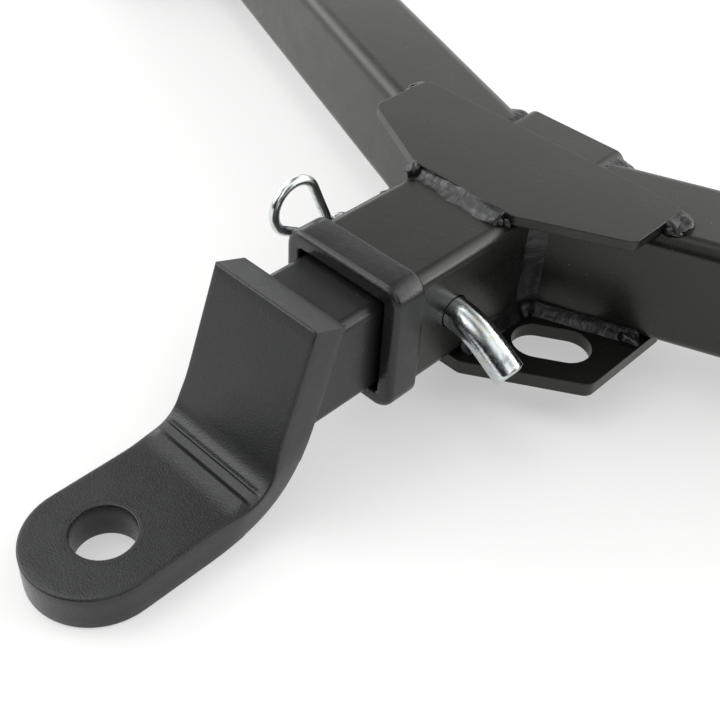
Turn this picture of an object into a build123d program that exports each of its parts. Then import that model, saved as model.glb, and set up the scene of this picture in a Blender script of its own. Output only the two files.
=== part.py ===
from build123d import *
import math
import os

# Towbar with a square receiver, a swept cross member and a removable ball mount.
# Millimetres, +X to the right, +Y forward to the vehicle, +Z up.
# The origin is the axis of the ball hole on the top face of the tongue.

# Ball mount tongue, a thick flat bar bent up at the back
ball_hole_diameter = 23.0
tongue_width = 50.0
tongue_thickness = 15.0
tongue_nose_offset = 3.5
upright_foot_y = 49.3
upright_lean = 20.0
upright_face_length = 64.7
upright_edge_chamfer = 1.0
bend_inner_radius = 14.0
bend_outer_radius = 38.0
bend_inner_bulge = 1.5
bend_outer_pinch = 1.0
bend_bulge_reach = 12.0

# Ball mount shank, a square tube welded to the back of the upright
shank_size = 40.0
shank_wall = 5.0
shank_corner = 4.0
shank_bore_corner = 1.0
shank_axis_z = 30.0
shank_back_y = 200.0
shank_weld_leg = 4.5

# Receiver tube and the collar round its mouth
receiver_clearance = 1.0
receiver_wall = 4.0
receiver_corner = 5.0
receiver_bore_corner = 2.0
collar_front_y = 107.0
collar_length = 15.0
collar_lip = 2.0
collar_wall = 3.0
collar_corner = 8.0
collar_edge_rounding = 2.4
collar_back_chamfer = 1.8
collar_mouth_chamfer = 1.6
receiver_back_y = 246.6

# Hitch pin, bent at its right end and cross-drilled at its left end
pin_axis_y = 143.0
pin_diameter = 12.7
pin_hole_clearance = 0.4
shank_hole_clearance = 0.65
pin_left_x = -44.0
pin_bend_start_x = 24.5
pin_bend_radius = 33.0
pin_bend_angle = 32.5
pin_end_straight = 14.2
pin_end_chamfer = 1.5

# Spring clip, one wire bent to an R
clip_wire = 4.0
clip_hole_clearance = 0.25
clip_grip_clearance = 0.3
clip_plane_x = -37.5
clip_lean = 30.0
clip_leg_tip = 16.0
clip_leg_length = 48.0
clip_ring_radius = 10.4
clip_leg_slope = 36.5
clip_grip_slope = 40.0
clip_waist_rounding = 4.0
clip_tail_run = 7.9
clip_tail_rise = 5.5

# Cross member arms, swept forward from the receiver
arm_sweep = 22.0
arm_depth = 47.0
arm_wall = 4.0
arm_corner = 6.5
arm_front_offset = 35.35
overall_width = 760.0

# Top gusset plate
top_plate_thickness = 4.0
top_plate_front_half_width = 24.8
top_plate_front_y = 172.3
top_plate_end_x = 65.0
top_plate_end_front_y = 192.6
top_plate_back_y = 225.5
top_plate_corner = 5.0

# Chain plate under the receiver, with one slot for a shackle on each side
chain_plate_thickness = 6.0
chain_plate_front_y = 146.5
chain_plate_front_half_width = 28.4
chain_plate_diagonal = 32.0
chain_plate_end_x = 71.5
chain_plate_corner = 5.0
slot_x = 46.2
slot_y = 181.9
slot_length = 32.0
slot_width = 20.0

# Mounting plates that bolt to the chassis rails
mounting_plate_thickness = 8.0
mounting_plate_length = 180.0
mounting_plate_bottom_z = -15.0
mounting_plate_top_z = 70.0
mounting_plate_corner = 10.0
mounting_hole_diameter = 13.0
mounting_hole_spacing_y = 120.0
mounting_hole_spacing_z = 45.0

# Weld beads: legs on the two faces that each bead joins
bead_crown = 0.12
weld_face_angle = 44.0
top_front_bead_half_length = 19.5
top_front_bead_leg = 6.0
top_right_bead_leg = 4.2
top_left_bead_leg = 3.0
top_end_bead_front_y = 210.5
top_end_bead_back_y = 225.5
seam_root_fill = 2.0
front_seam_receiver_leg = 7.0
front_seam_arm_leg = 3.7
rear_seam_receiver_leg = 3.5
rear_seam_top_gap = 3.0
rear_seam_arm_leg = 4.0
chain_receiver_bead_rise = 6.0
chain_receiver_bead_leg = 3.0
chain_receiver_bead_front_y = 152.0
chain_arm_bead_rise = 5.0
chain_arm_bead_leg = 3.5
chain_arm_bead_inset = 4.0
chain_arm_bead_end_x = 69.0
mounting_weld_leg = 5.0

# Sizes that follow from the driving dimensions
receiver_inner = shank_size + 2 * receiver_clearance
receiver_size = receiver_inner + 2 * receiver_wall
receiver_top_z = shank_axis_z + receiver_size / 2
receiver_bottom_z = shank_axis_z - receiver_size / 2
receiver_front_y = collar_front_y + collar_lip
collar_size = receiver_size + 2 * collar_wall
arm_height = receiver_size
arm_bottom_z = receiver_bottom_z
arm_top_z = arm_bottom_z + arm_height
top_plate_top_z = receiver_top_z + top_plate_thickness
chain_plate_bottom_z = receiver_bottom_z - chain_plate_thickness
pin_radius = pin_diameter / 2
tongue_half_width = tongue_width / 2
receiver_half_width = receiver_size / 2
mounting_plate_inner_x = overall_width / 2 - mounting_plate_thickness
lean_sin = math.sin(math.radians(upright_lean))
lean_cos = math.cos(math.radians(upright_lean))
bend_tangent = math.tan(math.radians(90 - upright_lean) / 2)
sweep_sin = math.sin(math.radians(arm_sweep))
sweep_cos = math.cos(math.radians(arm_sweep))
far = 2000.0


def rounded_bar(size, corner, front_y, back_y, centre_z=shank_axis_z):
    # Square bar along Y with rounded long edges
    plane = Plane(origin=(0, front_y, centre_z), x_dir=(1, 0, 0), z_dir=(0, 1, 0))
    section = plane * RectangleRounded(size, size, corner)
    return extrude(section, amount=back_y - front_y, dir=(0, 1, 0))


def cross_bar(diameter, half_length, y=pin_axis_y, z=shank_axis_z):
    # Round bar along X through the axis of the hitch pin
    plane = Plane(origin=(-half_length, y, z), z_dir=(1, 0, 0))
    return extrude(plane * Circle(diameter / 2), amount=2 * half_length)


def slab(outline, bottom_z, top_z):
    # Flat piece with the given plan outline
    return extrude(Plane.XY.offset(bottom_z) * outline, amount=top_z - bottom_z)


def mirrored(shape):
    # The same shape on the other side of the middle plane
    return mirror(shape, about=Plane.YZ)


def arm_face_y(x, depth=0.0):
    # Y of the arm's front face at this x, or of a plane that far behind it
    return pin_axis_y + (abs(x) * sweep_sin + arm_front_offset + depth) / sweep_cos


# Ball mount

def back_face_y(z):
    # Y of the upright's back face at this height
    offset = tongue_thickness / lean_cos
    return upright_foot_y + offset + z * math.tan(math.radians(upright_lean))


def tongue_profile():
    # Side view of the bent bar: inner bend on the front, outer bend at the back
    nose_y = -tongue_nose_offset - tongue_half_width
    inner_tangent = bend_inner_radius * bend_tangent
    outer_tangent = bend_outer_radius * bend_tangent
    heel = (back_face_y(-tongue_thickness), -tongue_thickness)
    inner_start = (upright_foot_y - inner_tangent, 0)
    inner_end = (upright_foot_y + inner_tangent * lean_sin, inner_tangent * lean_cos)
    outer_start = (heel[0] - outer_tangent, heel[1])
    outer_end = (heel[0] + outer_tangent * lean_sin, heel[1] + outer_tangent * lean_cos)
    front_top = (
        upright_foot_y + upright_face_length * lean_sin,
        upright_face_length * lean_cos,
    )
    chamfer_front = (
        front_top[0] - upright_edge_chamfer * lean_sin,
        front_top[1] - upright_edge_chamfer * lean_cos,
    )
    chamfer_top = (
        front_top[0] + upright_edge_chamfer * lean_cos,
        front_top[1] - upright_edge_chamfer * lean_sin,
    )
    back_top = (
        front_top[0] + tongue_thickness * lean_cos,
        front_top[1] - tongue_thickness * lean_sin,
    )
    outline = Curve() + [
        Line((nose_y, -tongue_thickness), (nose_y, 0)),
        Line((nose_y, 0), inner_start),
        TangentArc(inner_start, inner_end, tangent=(1, 0)),
        Line(inner_end, chamfer_front),
        Line(chamfer_front, chamfer_top),
        Line(chamfer_top, back_top),
        Line(back_top, outer_end),
        TangentArc(outer_start, outer_end, tangent=(1, 0)),
        Line(outer_start, (nose_y, -tongue_thickness)),
    ]
    side = Plane(origin=(0, 0, 0), x_dir=(0, 1, 0), z_dir=(1, 0, 0))
    return side * make_face(outline)


def bend_envelope():
    # Sides of the bar: wider on the inside of the bend, narrower on its outside
    axis_y = upright_foot_y - bend_inner_radius * bend_tangent
    axis_z = bend_inner_radius
    outer = bend_inner_radius + tongue_thickness
    rim = outer + 4 * tongue_width
    half = Polyline(
        (0, 0),
        (tongue_half_width + bend_inner_bulge, 0),
        (tongue_half_width + bend_inner_bulge, bend_inner_radius),
        (tongue_half_width - bend_outer_pinch, outer),
        (tongue_half_width, outer + bend_bulge_reach),
        (tongue_half_width, rim),
        (0, rim),
        close=True,
    )
    axis_frame = Plane(origin=(0, axis_y, axis_z), x_dir=(1, 0, 0), z_dir=(0, -1, 0))
    body = revolve(axis_frame * make_face(half), Axis((0, axis_y, axis_z), (1, 0, 0)), 360)
    return body + mirrored(body)


def make_tongue():
    # The bent flat bar: side profile, rounded nose, shaped bend and ball hole
    reach = tongue_half_width + bend_inner_bulge + 1
    bar = extrude(tongue_profile(), amount=reach, dir=(1, 0, 0), both=True)
    nose = Pos(0, -tongue_nose_offset) * Circle(tongue_half_width)
    rear = Pos(0, tongue_width) * Rectangle(2 * reach, 2 * (tongue_width + tongue_nose_offset))
    plan = slab(nose + rear, -2 * tongue_thickness, 2 * upright_face_length)
    hole = Cylinder(ball_hole_diameter / 2, 4 * tongue_thickness)
    return (bar & bend_envelope() & plan) - hole


def make_shank():
    # Square tube cut to the lean of the upright, drilled for the hitch pin
    front_y = upright_foot_y
    outer = rounded_bar(shank_size, shank_corner, front_y, shank_back_y)
    inner = rounded_bar(shank_size - 2 * shank_wall, shank_bore_corner, front_y, shank_back_y)
    holes = cross_bar(pin_diameter + 2 * shank_hole_clearance, shank_size)
    return outer - inner - upright_space() - holes


def upright_plane():
    # Back face of the upright at the height of the shank's axis
    origin = (0, back_face_y(shank_axis_z), shank_axis_z)
    return Plane(origin=origin, x_dir=(1, 0, 0), z_dir=(0, lean_cos, -lean_sin))


def upright_space():
    # Everything ahead of the upright's back face
    return extrude(upright_plane() * Rectangle(far, far), amount=-far)


def make_shank_weld():
    # Bead all round the shank on the upright's back face
    leg = shank_weld_leg
    height = shank_size / lean_cos
    foot = RectangleRounded(shank_size + 2 * leg, height + 2 * leg, shank_corner + leg)
    collar = extrude(upright_plane() * foot, amount=leg, taper=weld_face_angle)
    core = rounded_bar(shank_size, shank_corner, upright_foot_y, shank_back_y)
    return collar - core


# Receiver

def make_receiver_tube():
    # Square tube that takes the shank, drilled for the hitch pin
    outer = rounded_bar(receiver_size, receiver_corner, receiver_front_y, receiver_back_y)
    inner = rounded_bar(receiver_inner, receiver_bore_corner, receiver_front_y, receiver_back_y)
    holes = cross_bar(pin_diameter + 2 * pin_hole_clearance, receiver_size)
    return outer - inner - holes


def make_collar():
    # Thick rounded ring over the mouth of the receiver, with a lip in front of the tube
    back_y = collar_front_y + collar_length
    ring = rounded_bar(collar_size, collar_corner, collar_front_y, back_y)
    ring = fillet(ring.edges().group_by(Axis.Y)[0], collar_edge_rounding)
    ring = chamfer(ring.edges().group_by(Axis.Y)[-1], collar_back_chamfer)
    socket = rounded_bar(receiver_size, receiver_corner, receiver_front_y, back_y)
    mouth = rounded_bar(receiver_inner, receiver_bore_corner, collar_front_y, back_y)
    ring = ring - socket - mouth
    return chamfer(mouth_edges(ring), collar_mouth_chamfer)


def mouth_edges(ring):
    # Edges on the front face that bound the opening for the shank
    reach = receiver_size / 2
    inside = []
    for edge in ring.edges().group_by(Axis.Y)[0]:
        centre = edge.center()
        if abs(centre.X) < reach and abs(centre.Z - shank_axis_z) < reach:
            inside.append(edge)
    return inside


# Cross member

def arm_bar(depth, height, corner):
    # Bar along the right arm, cut at the receiver's side and at the mounting plate
    start = (0, arm_face_y(0, arm_depth / 2), (arm_bottom_z + arm_top_z) / 2)
    plane = Plane(origin=start, x_dir=(-sweep_sin, sweep_cos, 0), z_dir=(sweep_cos, sweep_sin, 0))
    bar = extrude(plane * RectangleRounded(depth, height, corner), amount=overall_width)
    middle = (receiver_half_width + mounting_plate_inner_x) / 2
    length = mounting_plate_inner_x - receiver_half_width
    return bar & Pos(middle, 0, 0) * Box(length, far, far)


def filled_arm():
    # The right arm without its hollow
    return arm_bar(arm_depth, arm_height, arm_corner)


def make_right_arm():
    # Hollow arm, open at both ends
    hollow = arm_bar(arm_depth - 2 * arm_wall, arm_height - 2 * arm_wall, arm_corner - arm_wall)
    return filled_arm() - hollow


def make_top_plate():
    # Six-sided plate over the meeting of the receiver and the arms
    corners = [
        (-top_plate_front_half_width, top_plate_front_y),
        (top_plate_front_half_width, top_plate_front_y),
        (top_plate_end_x, top_plate_end_front_y),
        (top_plate_end_x, top_plate_back_y),
        (-top_plate_end_x, top_plate_back_y),
        (-top_plate_end_x, top_plate_end_front_y),
    ]
    outline = make_face(Polyline(*corners, close=True))
    plate = slab(outline, receiver_top_z, top_plate_top_z)
    return fillet(plate.edges().filter_by(Axis.Z), top_plate_corner)


def make_chain_plate():
    # Plate under the receiver and the arms, with a slot on each side
    slope = math.tan(math.radians(chain_plate_diagonal))
    end_front_y = chain_plate_front_y + (chain_plate_end_x - chain_plate_front_half_width) * slope
    corners = [
        (-chain_plate_front_half_width, chain_plate_front_y),
        (chain_plate_front_half_width, chain_plate_front_y),
        (chain_plate_end_x, end_front_y),
        (chain_plate_end_x, top_plate_back_y),
        (-chain_plate_end_x, top_plate_back_y),
        (-chain_plate_end_x, end_front_y),
    ]
    outline = make_face(Polyline(*corners, close=True))
    plate = slab(outline, chain_plate_bottom_z, receiver_bottom_z)
    plate = fillet(plate.edges().filter_by(Axis.Z), chain_plate_corner)
    for side in (-1, 1):
        slot = SlotOverall(slot_length, slot_width, rotation=side * chain_plate_diagonal)
        plate -= slab(Pos(side * slot_x, slot_y) * slot, -far, far)
    return plate


def mounting_plate_centre_y():
    # Middle of the arm's end, where the mounting plate is centred
    return arm_face_y(mounting_plate_inner_x, arm_depth / 2)


def make_right_mounting_plate():
    # Upright plate across the arm's end, with four bolt holes
    height = mounting_plate_top_z - mounting_plate_bottom_z
    centre_z = (mounting_plate_top_z + mounting_plate_bottom_z) / 2
    origin = (mounting_plate_inner_x, mounting_plate_centre_y(), centre_z)
    plane = Plane(origin=origin, x_dir=(0, 1, 0), z_dir=(1, 0, 0))
    outline = RectangleRounded(mounting_plate_length, height, mounting_plate_corner)
    pattern = GridLocations(mounting_hole_spacing_y, mounting_hole_spacing_z, 2, 2)
    outline -= pattern * Circle(mounting_hole_diameter / 2)
    return extrude(plane * outline, amount=mounting_plate_thickness)


# Weld beads

def bead(root, end, leg_a, leg_b):
    # Fillet weld along a straight corner; each leg is a vector from the corner line
    start = Vector(*root)
    run = Vector(*end) - start
    toe_a = start + Vector(*leg_a)
    toe_b = start + Vector(*leg_b)
    crown = (toe_a + toe_b) * 0.5
    crown = crown + (crown - start) * (2 * bead_crown)
    outline = Curve() + [
        Line(start, toe_a),
        ThreePointArc(toe_a, crown, toe_b),
        Line(toe_b, start),
    ]
    return extrude(make_face(outline), amount=run.length, dir=run.normalized())


def make_top_front_weld():
    # Bead on the receiver's top along the front edge of the top plate
    z = receiver_top_z
    half = top_front_bead_half_length
    leg_front = (0, -top_front_bead_leg, 0)
    leg_up = (0, 0, top_plate_thickness)
    return bead((-half, top_plate_front_y, z), (half, top_plate_front_y, z), leg_front, leg_up)


def make_top_end_weld(leg):
    # Bead on the right arm's top along the end edge of the top plate
    z = receiver_top_z
    x = top_plate_end_x
    start = (x, top_end_bead_front_y, z)
    end = (x, top_end_bead_back_y, z)
    strip = bead(start, end, (leg, 0, 0), (0, 0, top_plate_thickness))
    corner_y = top_plate_back_y - top_plate_corner / 2
    corner = Pos(x - top_plate_corner / 2, corner_y) * Rectangle(top_plate_corner, top_plate_corner)
    fill = slab(corner, z, z + top_plate_thickness)
    return (strip + fill) - make_top_plate()


def make_front_seam():
    # Upright bead between the receiver's side and the arm's front face
    x = receiver_half_width
    y = arm_face_y(x)
    bottom = arm_bottom_z
    leg_front = (0, -front_seam_receiver_leg, 0)
    leg_arm = (front_seam_arm_leg * sweep_cos, front_seam_arm_leg * sweep_sin, 0)
    seam = bead((x, y, bottom), (x, y, arm_top_z), leg_front, leg_arm)
    fill = seam_root_fill
    root = Pos(x - fill / 2, y - fill / 2, shank_axis_z) * Box(fill, fill, arm_height)
    return (seam + root) - filled_receiver() - filled_arm()


def make_rear_seam():
    # Upright bead behind the arm and the bead that fills the groove along its top
    x = receiver_half_width
    y = arm_face_y(x, arm_depth)
    leg_back = (0, rear_seam_receiver_leg, 0)
    leg_arm = (rear_seam_arm_leg * sweep_cos, rear_seam_arm_leg * sweep_sin, 0)
    top_z = arm_top_z - rear_seam_top_gap
    seam = bead((x, y, arm_bottom_z), (x, y, top_z), leg_arm, leg_back)
    groove_depth = receiver_corner / 2
    groove_middle = (top_plate_back_y + y + rear_seam_receiver_leg) / 2
    groove = Pos(x - groove_depth / 2, groove_middle, receiver_top_z - groove_depth / 2) * Box(
        groove_depth, y + rear_seam_receiver_leg - top_plate_back_y, groove_depth
    )
    return (seam + groove) - filled_receiver() - filled_arm()


def make_chain_receiver_weld():
    # Bead between the receiver's side and the chain plate
    x = receiver_half_width
    z = receiver_bottom_z
    end_y = arm_face_y(x) - front_seam_receiver_leg
    start_y = chain_receiver_bead_front_y
    leg_out = (chain_receiver_bead_leg, 0, 0)
    leg_up = (0, 0, chain_receiver_bead_rise)
    strip = bead((x, start_y, z), (x, end_y, z), leg_out, leg_up)
    root_fill = Pos(x - receiver_corner / 4, (start_y + end_y) / 2, z + receiver_corner / 2) * Box(
        receiver_corner / 2, end_y - start_y, receiver_corner
    )
    return (strip + root_fill) - filled_receiver()


def make_chain_arm_weld():
    # Bead between the arm's front face and the chain plate
    z = arm_bottom_z
    start_x = receiver_half_width + chain_arm_bead_inset
    end_x = chain_arm_bead_end_x
    leg_out = (chain_arm_bead_leg * sweep_sin, -chain_arm_bead_leg * sweep_cos, 0)
    leg_up = (0, 0, chain_arm_bead_rise)
    start = (start_x, arm_face_y(start_x), z)
    end = (end_x, arm_face_y(end_x), z)
    strip = bead(start, end, leg_out, leg_up)
    inward = (-seam_root_fill * sweep_sin, seam_root_fill * sweep_cos, 0)
    root_fill = bead(start, end, inward, leg_up)
    return (strip + root_fill) - filled_arm()


def make_mounting_weld():
    # Bead all round the arm's end on the mounting plate
    leg = mounting_weld_leg
    centre_z = (arm_bottom_z + arm_top_z) / 2
    origin = (mounting_plate_inner_x, mounting_plate_centre_y(), centre_z)
    plane = Plane(origin=origin, x_dir=(0, 1, 0), z_dir=(-1, 0, 0))
    width = arm_depth / sweep_cos + 2 * leg
    foot = RectangleRounded(width, arm_height + 2 * leg, arm_corner + leg)
    return extrude(plane * foot, amount=leg, taper=weld_face_angle) - filled_arm()


def filled_receiver():
    # The receiver tube without its bore
    return rounded_bar(receiver_size, receiver_corner, receiver_front_y, receiver_back_y)


# Hitch pin and spring clip

def make_pin():
    # Round bar, straight through the receiver and bent down at its right end
    down = Vector(0, 0, -1)
    angle = math.radians(pin_bend_angle)
    start = Vector(pin_left_x, pin_axis_y, shank_axis_z)
    bend_start = Vector(pin_bend_start_x, pin_axis_y, shank_axis_z)
    half = angle / 2
    bend_middle = bend_start + Vector(1, 0, 0) * (pin_bend_radius * math.sin(half))
    bend_middle = bend_middle + down * (pin_bend_radius * (1 - math.cos(half)))
    bend_end = bend_start + Vector(1, 0, 0) * (pin_bend_radius * math.sin(angle))
    bend_end = bend_end + down * (pin_bend_radius * (1 - math.cos(angle)))
    heading = Vector(1, 0, 0) * math.cos(angle) + down * math.sin(angle)
    tip = bend_end + heading * pin_end_straight
    path = Wire([
        Edge.make_line(start, bend_start),
        Edge.make_three_point_arc(bend_start, bend_middle, bend_end),
        Edge.make_line(bend_end, tip),
    ])
    section = Plane(origin=start, z_dir=(1, 0, 0)) * Circle(pin_radius)
    pin = sweep(section, path=path)
    ends = pin.faces().sort_by(Axis.X)
    rims = [*ends[0].edges(), *ends[-1].edges()]
    pin = chamfer(rims, pin_end_chamfer)
    hole_radius = clip_wire / 2 + clip_hole_clearance
    hole_plane = Plane(origin=(clip_plane_x, pin_axis_y, shank_axis_z), z_dir=clip_direction())
    return pin - extrude(hole_plane * Circle(hole_radius), amount=pin_diameter, both=True)


def clip_direction():
    # The way the clip's straight leg points, towards its tip
    lean = math.radians(clip_lean)
    return (0, math.cos(lean), -math.sin(lean))


def make_clip():
    # One wire: straight leg through the pin, ring, and a sprung leg that grips the pin
    ring = clip_ring_radius
    slope = math.radians(clip_leg_slope)
    grip = math.radians(clip_grip_slope)
    grip_radius = pin_radius + clip_grip_clearance + clip_wire / 2
    apex = (0, grip_radius / math.cos(grip))
    heel_u = clip_leg_tip - clip_leg_length
    turn = math.pi / 2 - slope
    leave = (heel_u + ring * math.cos(turn), ring + ring * math.sin(turn))
    leg_rise = leave[1] + leave[0] * math.tan(slope)
    waist_u = (leg_rise - apex[1]) / (math.tan(grip) + math.tan(slope))
    waist = (waist_u, apex[1] + waist_u * math.tan(grip))
    waist_right = (-waist_u, waist[1])
    tail = (waist_right[0] + clip_tail_run, waist_right[1] + clip_tail_rise)
    sprung_leg = FilletPolyline(leave, waist, apex, waist_right, tail, radius=[
        clip_waist_rounding,
        grip_radius,
        clip_waist_rounding,
    ])
    far_side = (heel_u - ring, ring)
    path = Curve() + [
        Line((clip_leg_tip, 0), (heel_u, 0)),
        ThreePointArc((heel_u, 0), far_side, leave),
        sprung_leg,
    ]
    origin = (clip_plane_x, pin_axis_y, shank_axis_z)
    clip_plane = Plane(origin=origin, x_dir=clip_direction(), z_dir=(1, 0, 0))
    wire = clip_plane * path
    leg_end = clip_plane.from_local_coords((clip_leg_tip, 0, 0))
    back = -Vector(*clip_direction())
    section = Plane(origin=leg_end, z_dir=back) * Circle(clip_wire / 2)
    return sweep(section, path=wire)


# Write one file per piece

def build_all():
    right_arm = make_right_arm()
    right_plate = make_right_mounting_plate()
    front_seam = make_front_seam()
    rear_seam = make_rear_seam()
    chain_receiver = make_chain_receiver_weld()
    chain_arm = make_chain_arm_weld()
    mounting_weld = make_mounting_weld()
    return {
        "receiver_tube": make_receiver_tube(),
        "receiver_collar": make_collar(),
        "right_arm": right_arm,
        "left_arm": mirrored(right_arm),
        "top_gusset_plate": make_top_plate(),
        "chain_plate": make_chain_plate(),
        "right_mounting_plate": right_plate,
        "left_mounting_plate": mirrored(right_plate),
        "weld_top_plate_front": make_top_front_weld(),
        "weld_top_plate_right": make_top_end_weld(top_right_bead_leg),
        "weld_top_plate_left": mirrored(make_top_end_weld(top_left_bead_leg)),
        "weld_receiver_right": front_seam,
        "weld_receiver_left": mirrored(front_seam),
        "weld_rear_right": rear_seam,
        "weld_rear_left": mirrored(rear_seam),
        "weld_chain_plate_receiver": Compound(children=[chain_receiver, mirrored(chain_receiver)]),
        "weld_chain_plate_right": chain_arm,
        "weld_chain_plate_left": mirrored(chain_arm),
        "weld_mounting_plate_right": mounting_weld,
        "weld_mounting_plate_left": mirrored(mounting_weld),
        "ball_mount_tongue": make_tongue(),
        "ball_mount_shank": make_shank(),
        "weld_ball_mount": make_shank_weld(),
        "hitch_pin": make_pin(),
        "hitch_clip": make_clip(),
    }


os.makedirs("parts", exist_ok=True)
for node, shape in build_all().items():
    export_step(shape, f"parts/{node}.step")
    print(node, "solids", len(shape.solids()), "volume", round(shape.volume, 1))
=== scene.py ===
import math

import bmesh
import bpy
from mathutils import Matrix, Vector, geometry, noise


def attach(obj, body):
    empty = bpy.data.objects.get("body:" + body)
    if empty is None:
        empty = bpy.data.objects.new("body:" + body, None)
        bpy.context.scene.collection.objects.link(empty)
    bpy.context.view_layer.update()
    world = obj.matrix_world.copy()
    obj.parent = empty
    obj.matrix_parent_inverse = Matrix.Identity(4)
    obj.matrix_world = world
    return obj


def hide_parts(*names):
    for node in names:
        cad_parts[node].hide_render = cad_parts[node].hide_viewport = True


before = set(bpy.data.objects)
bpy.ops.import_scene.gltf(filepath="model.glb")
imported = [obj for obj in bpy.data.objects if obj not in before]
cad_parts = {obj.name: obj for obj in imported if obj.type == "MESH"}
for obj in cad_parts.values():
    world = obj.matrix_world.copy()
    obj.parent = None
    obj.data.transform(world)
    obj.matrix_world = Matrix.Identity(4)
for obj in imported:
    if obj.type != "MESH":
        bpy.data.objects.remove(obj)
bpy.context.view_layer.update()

# Towbar with a square receiver, swept arms and a pinned ball mount.
# Shape values are in millimetres in the part's frame; MM turns them into metres.
MM = 0.001
RIGHT = Vector((1, 0, 0))
UP = Vector((0, 0, 1))
SIDES = (("right", 1), ("left", -1))
WHITE = (1.0, 1.0, 1.0, 1.0)

# Camera, fitted to the photograph
CAMERA_PLACE = Vector((213.45, -118.98, 292.87))
CAMERA_AZIMUTH = math.radians(41.673)
CAMERA_ELEVATION = math.radians(42.141)
CAMERA_ROLL = math.radians(4.015)
CAMERA_FOCAL_PIXELS = 1117.65
CAMERA_CLIP_START = 0.01
PHOTO_PIXELS = 720
SENSOR_WIDTH = 36.0

# Shared sizes
FLOOR_Z = -15.0
AXIS_Y = 143.0
AXIS_Z = 30.0
RECEIVER_HALF = 25.0
SHANK_HALF = 20.0
TOP_Z = 55.0
BOTTOM_Z = 5.0
TOP_PLATE_HALF = 65.0
MOUNTING_PLATE_X = 372.0
SWEEP = math.radians(22.0)
SWEEP_SIN = math.sin(SWEEP)
SWEEP_COS = math.cos(SWEEP)
ARM_FRONT_OFFSET = 35.35
ARM_DEPTH = 47.0


def arm_face_y(x, depth=0.0):
    """Y of the arm's front face, or of a plane that far behind it, at this x."""
    return AXIS_Y + (abs(x) * SWEEP_SIN + ARM_FRONT_OFFSET + depth) / SWEEP_COS


def quarter_turn(steps):
    """Angles from 0 to a right angle."""
    return [math.pi / 2 * i / steps for i in range(steps + 1)]


# Materials

def new_material(name):
    material = bpy.data.materials.new(name)
    material.use_nodes = True
    nodes = material.node_tree.nodes
    return material, nodes, material.node_tree.links, nodes["Principled BSDF"]


def noise_node(nodes, links, place, scale, detail, roughness=0.55):
    node = nodes.new("ShaderNodeTexNoise")
    node.inputs["Scale"].default_value = scale
    node.inputs["Detail"].default_value = detail
    node.inputs["Roughness"].default_value = roughness
    links.new(place, node.inputs["Vector"])
    return node.outputs["Fac"]


def ramp(nodes, links, source, stops):
    node = nodes.new("ShaderNodeValToRGB")
    first, last = node.color_ramp.elements[0], node.color_ramp.elements[1]
    first.position, first.color = stops[0][0], (*stops[0][1], 1.0)
    last.position, last.color = stops[-1][0], (*stops[-1][1], 1.0)
    for position, color in stops[1:-1]:
        stop = node.color_ramp.elements.new(position)
        stop.color = (*color, 1.0)
    links.new(source, node.inputs["Fac"])
    return node.outputs["Color"]


def spread(nodes, links, source, low, high, new_low, new_high):
    node = nodes.new("ShaderNodeMapRange")
    node.inputs["From Min"].default_value = low
    node.inputs["From Max"].default_value = high
    node.inputs["To Min"].default_value = new_low
    node.inputs["To Max"].default_value = new_high
    links.new(source, node.inputs["Value"])
    return node.outputs["Result"]


def bump(nodes, links, height, strength, distance, normal=None):
    node = nodes.new("ShaderNodeBump")
    node.inputs["Strength"].default_value = strength
    node.inputs["Distance"].default_value = distance
    links.new(height, node.inputs["Height"])
    if normal is not None:
        links.new(normal, node.inputs["Normal"])
    return node.outputs["Normal"]


def calculate(nodes, links, operation, *values):
    """A maths node; each value is a number or another node's output."""
    node = nodes.new("ShaderNodeMath")
    node.operation = operation
    for socket, value in zip(node.inputs, values):
        if isinstance(value, float):
            socket.default_value = value
        else:
            links.new(value, socket)
    return node.outputs[0]


def plain_white(nodes, kind):
    """An emission or background node that gives white at strength 1."""
    node = nodes.new(kind)
    node.inputs["Color"].default_value = WHITE
    node.inputs["Strength"].default_value = 1.0
    return node.outputs[0]


def blend(nodes, links, share, first, second, surface):
    """Mixes two shaders by share into a surface."""
    node = nodes.new("ShaderNodeMixShader")
    links.new(share, node.inputs["Fac"])
    links.new(first, node.inputs[1])
    links.new(second, node.inputs[2])
    links.new(node.outputs["Shader"], surface)


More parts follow.
